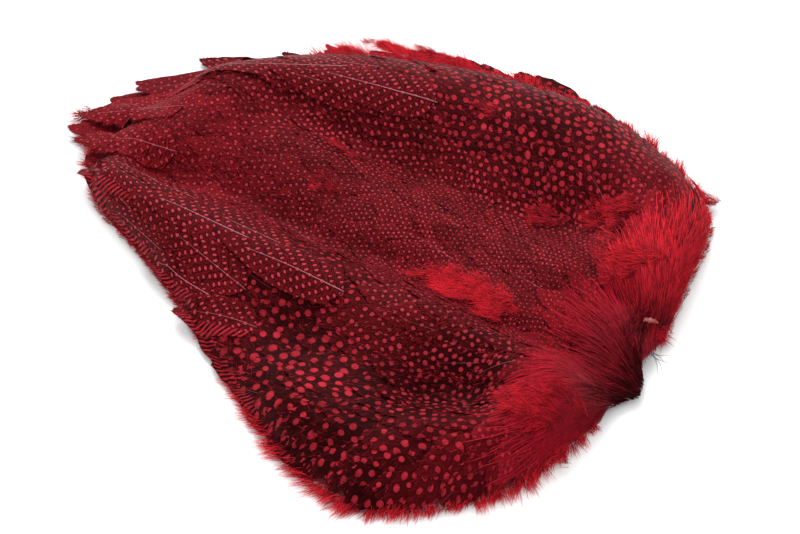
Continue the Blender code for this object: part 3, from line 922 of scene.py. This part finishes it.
class PLUMAGE_OT_neck_hackles(bpy.types.Operator):
    """Combs the narrow feathers of the neck and breast back over the skin"""

    bl_idname = "plumage.neck_hackles"
    bl_label = "Neck hackles"

    # How far the neck's end stands out, in millimetres, at places from its right edge towards its left.
    NECK_REACH = ((-0.8, -0.7, -0.38, 0.0, 0.34, 0.9), (0, 2, 7, 4, -2, -8))
    # Places on the plan, and how far from two of them the hackles darken or are missing.
    DARKEST, DARK_REACH = (149, -13), 27 * MM
    BARE_CORNER, BARE_REACH = (154, 14), 7 * MM
    TUFT_ROOT, FILAMENT_ROOT = (148, 16), (152, 3)
    SKIN_POINT = ((142, 17), (144.5, 17.2), (146.5, 17.4), (148.5, 17.6))
    NECK_END_BARBS, TUFT_BARBS, FILAMENTS = 3200, 180, 7

    def execute(self, context):
        sizes, colours = settings()
        rng = np.random.default_rng(SEED + 2)
        s, t = staggered(sizes.hackle_step, sizes.hackle_step, (0.0, 0.30), (-1, 1), rng, 0.45)
        roots = plan(s, t)
        lengths = rng.uniform(8, 18, len(s)) * MM
        # They keep to the line of the edge and don't splay as the body feathers do.
        ways = headings(s, t) + SPLAY * t * np.abs(t) + rng.normal(0, 0.07, len(s))
        way = pointing(ways, rng.uniform(0.0, 0.03, len(s)))
        tips = roots + way[:, :2] * lengths[:, None]
        keep = (rng.uniform(0, 1, len(s)) < traits(tips)[:, 5] ** 3) & (ground.from_edge(tips) > -1 * MM)
        keep &= np.linalg.norm(roots - metres(self.BARE_CORNER), axis=1) > self.BARE_REACH
        # The left breast's are brighter: partly dye, partly painted highlight. Towards the neck's end all of
        # them darken.
        lots = (
            ("neck_hackles", "combed_neck_hackle", keep & (t <= 0.3), colours.red_hackle, 0.4),
            # Painted highlight: the bright down red as tip colour, with its own tone, stands in for the left
            # breast's silky gloss.
            ("left_breast_hackles", "breast_hackle_painted_highlight", keep & (t > 0.3), colours.red_down, 0.03),
        )
        for name, look, chosen, tip_colour, tone in lots:
            made = self.laid(roots[chosen], way[chosen], lengths[chosen], rng)
            mat = dyed_barbs(look, colours.dark_hackle, tip_colour, 0.5, colours.silk)
            near = np.linalg.norm(roots[chosen] - metres(self.DARKEST), axis=1) / self.DARK_REACH
            strand_piece(name, made, mat, rng, tone - 1.3 * np.exp(-(near**2)), 0.55)

        # The neck's cut end stands out a few millimetres past the skin and is matted and nearly black.
        count = self.NECK_END_BARBS
        across = rng.uniform(-0.8, 0.9, count)
        reach = np.interp(across, *self.NECK_REACH) - rng.uniform(0, 8, count)
        roots = plan(np.zeros(count), across) + np.column_stack([reach, np.zeros(count)]) * MM
        way = pointing(
            headings(np.zeros(count), across) + rng.normal(0, 0.10, count), rng.uniform(0.0, 0.2, count)
        )
        lengths = rng.uniform(7, 20, count) * MM
        start = np.column_stack([roots, rng.uniform(1, 6, count) * MM])
        bends = bent(rng.normal(0, 0.05, (count, 2)))
        widths, clear = rng.uniform(0.25, 0.7, count) * MM, rng.uniform(-1, 2.4, count) * MM
        made = strands(start, way, lengths, widths, bends, rng, 0.6, clear, 0.2)
        mat = dyed_barbs("matted_neck_end", colours.black_web, colours.dark_hackle, 0.0, colours.sheen)
        strand_piece("neck_end", made, mat, rng, -0.1)

        # A small red tuft hangs from the corner of the neck, and a few loose filaments stand out beside it.
        count = self.TUFT_BARBS
        roots = metres(self.TUFT_ROOT) + rng.normal(0, 1.5 * MM, (count, 2))
        way = pointing(rng.normal(-0.25, 0.3, count), rng.uniform(-0.3, 0.1, count))
        start = np.column_stack([roots, rng.uniform(3, 8, count) * MM])
        bends = bent(rng.normal(0, 0.2, (count, 2)), rng.uniform(0.0, 0.4, count))
        lengths, widths = rng.uniform(3, 8, count) * MM, rng.uniform(0.3, 0.6, count) * MM
        mat = dyed_barbs("red_corner_tuft", colours.dark_hackle, colours.red_hackle, 0.0, colours.sheen)
        strand_piece("corner_tuft", strands(start, way, lengths, widths, bends, rng), mat, rng, 0.2)
        count = self.FILAMENTS
        roots = metres(self.FILAMENT_ROOT) + rng.normal(0, 0.8 * MM, (count, 2))
        way = pointing(rng.normal(0.0, 0.5, count), rng.uniform(-0.1, 0.3, count))
        start = np.column_stack([roots, np.full(count, 6 * MM)])
        bends = bent(rng.normal(0, 0.3, (count, 2)), 0.3)
        lengths, widths = rng.uniform(6, 12, count) * MM, np.full(count, 0.3 * MM)
        mat = dyed_barbs("dark_filament", colours.black_web, colours.black_web, 0.0, colours.sheen)
        strand_piece("neck_filaments", strands(start, way, lengths, widths, bends, rng), mat, rng)

        # A point of bare skin stands out at the corner.
        line = np.column_stack([metres(self.SKIN_POINT), np.zeros(len(self.SKIN_POINT))])
        line[:, 2] = ground.height(line[1]) + np.array((-0.4, 0.8, 1.2, 1.0)) * MM
        radii = np.array((2.2, 1.8, 1.1, 0.3)) * MM
        points, faces, places = tube(line, radii, np.array((0.0, 1.0, 0.0)), 8)
        mat = bpy.data.materials.get("dyed_dried_skin") or dried_skin(colours)
        make_piece("neck_skin_point", points, faces, mat, {"OFBake": places})
        return {"FINISHED"}

    def laid(self, roots, way, lengths, rng):
        """Narrow feathers that lie close on the plumage."""
        count = len(roots)
        start = np.column_stack([roots, ground.height(roots) + 0.3 * MM])
        bends = bent(rng.normal(0, 0.05, (count, 2)))
        widths = rng.uniform(0.2, 0.5, count) * MM
        clear = rng.uniform(0.8, 2.2, count) * MM
        return strands(start, way, lengths, widths, bends, rng, 0.8, clear, 0.7, 0.12)


class PLUMAGE_OT_down_tufts(bpy.types.Operator):
    """Raises the tufts of bright down that stand out between the feathers"""

    bl_idname = "plumage.down_tufts"
    bl_label = "Down tufts"

    # Each tuft's middle on the plan and its reach, in millimetres, how many barbs it has, and its lightness.
    TUFTS = (
        ((62, -7), (16, 6), 3000, 0.15),
        ((80, -9), (6, 7), 1400, 0.15),
        ((127, -62), (14, 8), 1400, 0.0),
        ((134, -50), (8, 6), 400, -0.1),
        ((-18, 18), (9, 6), 90, -0.3),
        ((-28, 46), (9, 6), 90, -0.3),
        ((28, 87), (8, 6), 90, -0.3),
        ((78, 54), (11, 6), 300, -0.3),
        ((107, 62), (14, 7), 600, -0.2),
        ((126, 36), (14, 8), 900, -0.05),
        ((136, 104), (5, 4), 350, 0.1),
        ((-42, 127), (15, 2), 1300, 0.0),
        ((-62, 115), (8, 2), 500, 0.0),
        ((-16, 133), (18, 1), 900, 0.0),
        ((-156, 15), (2, 4), 160, -0.3),
    )

    def execute(self, context):
        _, colours = settings()
        rng = np.random.default_rng(SEED + 3)
        parts = []
        for middle, reach, count, _ in self.TUFTS:
            # A tuft is a few plumes of down, each a fan of barbs from one root, that point to the tail.
            plumes = max(3, count // 32)
            own = rng.integers(0, plumes, count)
            roots = metres(middle) + rng.normal(0, 0.5, (plumes, 2)) * np.array(reach) * MM
            toward = math.pi + 0.15 + rng.normal(0, 0.35, plumes)
            fan = rng.normal(0, 0.38, count)
            places = roots[own] + rng.normal(0, 0.9 * MM, (count, 2))
            way = pointing(toward[own] + fan, rng.uniform(0.05, 0.45, count))
            start = np.column_stack([places, ground.height(places) + 0.8 * MM])
            bends = bent(rng.normal(0, 0.12, (count, 2)), rng.uniform(0.0, 0.35, count))
            lengths = rng.uniform(4, 10, count) * MM * np.cos(fan)
            widths = rng.uniform(0.10, 0.28, count) * MM
            clear = rng.uniform(1.2, 3.2, count) * MM
            parts.append(strands(start, way, lengths, widths, bends, rng, 0.0, clear, 0.35))
        _, _, counts, tones = zip(*self.TUFTS)
        mat = dyed_barbs("fluffed_down", colours.dark_hackle, colours.red_down, 0.1, colours.silk)
        strand_piece("down_tufts", joined(parts), mat, rng, np.repeat(tones, counts))
        return {"FINISHED"}


class PLUMAGE_OT_fringe(bpy.types.Operator):
    """Draws out the loose barbs along the skin's edge and over the feathers"""

    bl_idname = "plumage.fringe"
    bl_label = "Fringe"

    WISP_STEP = 1.8 * MM  # the edge that each wisp takes up

    def execute(self, context):
        sizes, colours = settings()
        rng = np.random.default_rng(SEED + 4)
        mat = dyed_barbs("loose_edge_barbs", colours.dark_hackle, colours.red_down, 0.25, colours.silk)
        s, t = np.linspace(0.03, 0.99, 400), np.linspace(-0.98, 0.98, 200)
        right, left = (
            (plan(s, side), headings(s, side), edge_value(s, side, RIGHT_FRINGE, LEFT_FRINGE))
            for side in (-np.ones(len(s)), np.ones(len(s)))
        )
        end = np.ones(len(t))
        toward = headings(end, t)
        tips = (np.interp(t, *TAIL_REACH) - 5) * MM
        tail = (plan(end, t) + pointing(toward) * tips[:, None], toward, 7 * end)
        # For each edge: its line, the way the feathers point there, the fringe's length in millimetres, how
        # far the fringe turns outwards, and how steeply it rises.
        edges = ((*right, 0.65, 0.02), (*left, -0.45, 0.30), (*tail, 0.0, 0.02))
        made = joined([self.wisps(*edge, sizes.fringe_step, rng) for edge in edges])
        strand_piece("edge_fringe", made, mat, rng, 0.12, 0.8)

        count = sizes.loose_barbs
        own_s, own_t = rng.uniform(0.02, 0.97, count), rng.uniform(-0.97, 0.97, count)
        places = plan(own_s, own_t)
        way = pointing(headings(own_s, own_t) + rng.normal(0, 0.5, count), np.zeros(count))
        start = np.column_stack([places, ground.height(places) + 1.0 * MM])
        bends = bent(rng.normal(0, 0.2, (count, 2)))
        clear = rng.uniform(1.4, 2.6, count) * MM
        lengths = rng.uniform(2, 5, count) * MM
        widths = rng.uniform(0.08, 0.18, count) * MM
        made = strands(start, way, lengths, widths, bends, rng, 0.0, clear)
        strand_piece("loose_barbs", made, mat, rng, -0.45)
        return {"FINISHED"}

    def wisps(self, line, heading, reach, outwards, lift, barb_step, rng):
        """The fringe of one edge: the loose barbs of each feather's tip draw together into a wisp."""
        arc = arc_along(line)
        wisps = int(arc[-1] / self.WISP_STEP)
        each = round(self.WISP_STEP / barb_step)
        count = wisps * each
        wisp_at = np.repeat((np.arange(wisps) + rng.uniform(-0.6, 1.6, wisps)) / wisps * arc[-1], each)
        spread = rng.normal(0, 1.3 * MM, count)
        at = wisp_at + spread
        turn = np.repeat(rng.normal(outwards, 0.28, wisps), each) + rng.normal(0, 0.2, count)
        forward = pointing(np.interp(at, arc, np.unwrap(heading)) + turn)
        places = np.column_stack([np.interp(at, arc, line[:, axis]) for axis in (0, 1)])
        places -= forward * rng.uniform(-1.5, 2.0, (count, 1)) * MM
        lengths = np.interp(at, arc, reach) * MM * np.repeat(rng.uniform(0.5, 1.5, wisps), each)
        lengths *= rng.uniform(0.45, 1, count)
        rise = np.repeat(rng.normal(lift, 0.08 + lift / 2, wisps), each) + rng.normal(0, 0.05, count)
        start = np.column_stack([places, ground.height(places) * rng.uniform(0.15, 0.75, count)])
        tangent = np.diff(line, axis=0, append=2 * line[-1:] - line[-2:-1])
        tangent = np.column_stack([np.interp(at, arc, tangent[:, axis]) for axis in (0, 1)])
        tangent /= np.linalg.norm(tangent, axis=-1, keepdims=True)
        gather = -tangent * (spread / lengths)[:, None] * 0.4
        bends = bent(gather + rng.normal(0, 0.05, (count, 2)), rng.uniform(0.0, 0.15, count))
        widths = rng.uniform(0.15, 0.42, count) * MM
        return strands(start, np.column_stack([forward, rise]), lengths, widths, bends, rng)


class PLUMAGE_OT_long_feathers(bpy.types.Operator):
    """Lays the long feathers of the flanks and rump over the rest"""

    bl_idname = "plumage.long_feathers"
    bl_label = "Long feathers"

    # Long feathers that are part of the pelt's sheets, from the tail forward: root, tip, width and lift.
    SHEET_FEATHERS = {
        "right_sheet_1": ((-71, -23), (-131, -14), 22, -0.6),
        "right_sheet_2": ((-83, -45), (-138, -20), 22, -0.6),
        "right_sheet_3": ((-63, -33), (-123, -21), 24, -0.4),
        "right_sheet_4": ((-46, -27), (-109, -19), 24, -0.3),
        "right_sheet_5": ((-58, -58), (-112, -36), 22, -0.3),
        "right_sheet_6": ((-41, -49), (-99, -33), 24, -0.2),
        "right_sheet_7": ((-11, -33), (-76, -29), 24, -0.1),
        "right_sheet_8": ((-19, -59), (-75, -45), 24, 0.0),
        "right_sheet_9": ((-6, -72), (-50, -75), 24, 0.1),
        "left_sheet_1": ((-55, 67), (-114, 61), 22, -0.4),
        "left_sheet_2": ((-51, 98), (-113, 75), 24, -0.3),
        "left_sheet_3": ((-16, 75), (-81, 63), 24, -0.2),
        "left_sheet_4": ((-31, 92), (-91, 79), 24, -0.1),
    }
    BARRED = (
        "right_flank_feather_1", "right_flank_feather_4", "right_sheet_2", "right_sheet_5", "right_sheet_9",
    )
    BENDS = {"right_flank_feather_4": -1.6}  # how sharply a shaft bends, to the left of its way
    ROWS = 44
    COLUMNS = np.array((-1, -0.8, -0.55, -0.28, 0, 0.28, 0.55, 0.8, 1))
    SPOT_STEP = 3.7 * MM

    def execute(self, context):
        _, colours = settings()
        rng = np.random.default_rng(SEED + 5)
        web = spotted_web("long_feather_web", colours, 0.12, colours.pearl)
        shaft = keratin_shaft(colours)
        for name, (root, tip, width, lift) in {**self.SHEET_FEATHERS, **LONG_FEATHERS}.items():
            self.feather(name, metres(root), metres(tip), width * MM, lift * 0.5 * MM, web, shaft, rng)
        return {"FINISHED"}

    def feather(self, name, root, tip, width, lift, web, shaft, rng):
        """One long feather: its vane, and its stiff shaft, which bridges the hollows that it lies over."""
        on_rump = name.startswith("rump")
        own_node = name in LONG_FEATHERS
        sits = {"slot": "long_feather" if own_node else "plumage", "replaces": name if own_node else "pelt"}
        length = np.linalg.norm(tip - root)
        forward = (tip - root) / length
        aside = np.array((-forward[1], forward[0]))
        ragged, loose = (0.05, 3.0) if on_rump else (0.012, 0.9)
        flat, barbs, edge = vanes(
            np.array([length]), np.array([width * 1.02]), rng, self.ROWS, self.COLUMNS, 0.06, ragged, loose
        )
        x, y = flat[0, :, 0], flat[0, :, 1]
        shrink = 1 / math.sqrt(1 + float(ground.slope(root + forward * length / 2, aside)) ** 2)
        bend = self.BENDS.get(name, 0.0)
        places = root + np.outer(x, forward) + np.outer(y * shrink + bend * x**2, aside)
        shares = np.linspace(0, 1, 12)
        under = ground.height(root + np.outer(shares * length, forward))
        bridged = [
            max(
                under[i] if a == b else under[a] + (under[b] - under[a]) * (i - a) / (b - a)
                for a in range(i + 1)
                for b in range(i, len(shares))
            )
            for i in range(len(shares))
        ] - under

        def over(share):
            """How far the shaft runs above the plumage, which it doesn't follow into the hollows."""
            return np.interp(share, shares, bridged) + lift + MM * (1.2 + 2.2 * share)

        # The vane's edges sink to the plumage below.
        sunk = np.clip(np.abs(y) / (width / 2), 0, 1) ** 2.5 * 0.85
        clear = lift * 0.5 + VANE_CLEAR + MM * 1.2 * x / length
        z = ground.height(places) + over(x / length) * (1 - sunk) + clear * sunk
        count = len(x)
        spots = np.column_stack(
            [y / self.SPOT_STEP + 0.5, (x + np.abs(y) * 0.55) / (self.SPOT_STEP * ROW_STEP)]
        )
        barred = np.clip(y / (0.1 * width), 0, 1) * (name in self.BARRED)
        worn, chance = np.full(count, 0.3 if on_rump else 0.05), np.full(count, rng.uniform())
        attributes = {
            "kind": np.tile((0.20, 0.7, 0.1) if on_rump else (0.21, 0.45, 0.0), (count, 1)),
            "state": np.column_stack([worn, chance, edge[0]]),
            "mark": np.column_stack([np.zeros(count), barred, np.full(count, 0.5), np.full(count, 0.8)]),
        }
        share = np.dstack([flat[..., 0] / (length * 1.15), flat[..., 1] / (width * 1.3) + 0.5])
        uvs = {"OFBake": atlas(1, share), "spots": spots, "barbs": barbs[0] * CENTIMETRES}
        faces = vane_faces(self.ROWS, len(self.COLUMNS))
        make_piece(name + "_vane", np.column_stack([places, z]), faces, web, uvs, attributes, **sits)
        own = np.linspace(0.04, 0.82, 20)
        line = root + np.outer(own * length, forward) + np.outer(bend * (own * length) ** 2, aside)
        line = np.column_stack([line, ground.height(line) + over(own)])
        radii = SHAFT_RADIUS * (1 - 0.85 * own) * (0.85 if own_node and not on_rump else 0.4)
        points, faces, round_and_along = tube(line, radii, np.array((*aside, 0.0)))
        make_piece(name + "_shaft", points, faces, shaft, {"OFBake": round_and_along}, **sits)


class PLUMAGE_OT_stage(bpy.types.Operator):
    """Sets the floor, the soft studio light and the camera"""

    bl_idname = "plumage.stage"
    bl_label = "Stage"

    def execute(self, context):
        stage = context.scene.stage_settings
        bpy.ops.mesh.primitive_plane_add(size=6)
        floor = context.object
        floor.name = "floor"
        pale, add = new_material("matt_white_paper")
        paper = add("BsdfPrincipled", {"Base Color": stage.floor, "Roughness": 0.9})
        add("OutputMaterial", {"Surface": paper})
        floor.data.materials.append(pale)
        lights = (
            ("overhead_softbox", (-0.55, 0.75, 0.95), 0.9, stage.key_power),
            ("front_softbox", (0.5, -1.3, 0.7), 1.2, stage.fill_power),
        )
        for name, place, size, power in lights:
            lamp = bpy.data.lights.new(name, "AREA")
            lamp.size = size
            lamp.energy = power
            holder = bpy.data.objects.new(name, lamp)
            holder.location = place
            holder.rotation_euler = (-Vector(place)).to_track_quat("-Z", "Y").to_euler()
            context.scene.collection.objects.link(holder)
        world = bpy.data.worlds.new("white_studio")
        world.use_nodes = True
        world.node_tree.nodes.clear()
        add = partial(node, world.node_tree)
        # The studio is brightest overhead and dims towards the floor.
        up = add("SeparateXYZ", {0: add("TexCoord").outputs["Generated"]}).outputs["Z"]
        strength = add("MapRange", {"Value": up, "From Max": 0.9, "To Min": 0.45, "To Max": 1.35})
        add("OutputWorld", {"Surface": add("Background", {"Color": (1, 1, 1), "Strength": strength})})
        context.scene.world = world
        context.scene.view_settings.view_transform = "Standard"
        level = math.cos(CAMERA_ELEVATION)
        back_way = Vector(
            (math.sin(CAMERA_AZIMUTH) * level, -math.cos(CAMERA_AZIMUTH) * level, math.sin(CAMERA_ELEVATION))
        )
        camera = bpy.data.objects.new("camera", bpy.data.cameras.new("camera"))
        camera.data.lens = CAMERA_LENS
        camera.location = CAMERA_TARGET + back_way * CAMERA_DISTANCE
        camera.rotation_euler = (-back_way).to_track_quat("-Z", "Y").to_euler()
        context.scene.collection.objects.link(camera)
        context.scene.camera = camera
        return {"FINISHED"}


class PLUMAGE_PT_panel(bpy.types.Panel):
    """Lists the steps that make the skin"""

    bl_label = "Guinea fowl skin"
    bl_idname = "PLUMAGE_PT_panel"
    bl_space_type = "VIEW_3D"
    bl_region_type = "UI"
    bl_category = "Plumage"

    def draw(self, context):
        for group in (context.scene.plumage_sizes, context.scene.dye_colours, context.scene.stage_settings):
            for key in group.bl_rna.properties.keys():
                if key not in {"rna_type", "name"}:
                    self.layout.prop(group, key)
        for operator in OPERATORS:
            self.layout.operator(operator.bl_idname)


OPERATORS = (
    PLUMAGE_OT_stage,
    PLUMAGE_OT_skin,
    PLUMAGE_OT_body_feathers,
    PLUMAGE_OT_neck_hackles,
    PLUMAGE_OT_down_tufts,
    PLUMAGE_OT_fringe,
    PLUMAGE_OT_long_feathers,
)
GROUPS = {"plumage_sizes": PlumageSizes, "dye_colours": DyeColours, "stage_settings": StageSettings}


def register():
    for made in (*GROUPS.values(), *OPERATORS, PLUMAGE_PT_panel):
        bpy.utils.register_class(made)
    for name, group in GROUPS.items():
        setattr(bpy.types.Scene, name, PointerProperty(type=group))


def unregister():
    for name in GROUPS:
        delattr(bpy.types.Scene, name)
    for made in (PLUMAGE_PT_panel, *reversed(OPERATORS), *GROUPS.values()):
        bpy.utils.unregister_class(made)


def main():
    register()
    bpy.ops.plumage.stage()
    bpy.ops.plumage.skin()
    bpy.ops.plumage.body_feathers()
    bpy.ops.plumage.neck_hackles()
    bpy.ops.plumage.down_tufts()
    bpy.ops.plumage.fringe()
    bpy.ops.plumage.long_feathers()


if __name__ == "__main__":
    main()
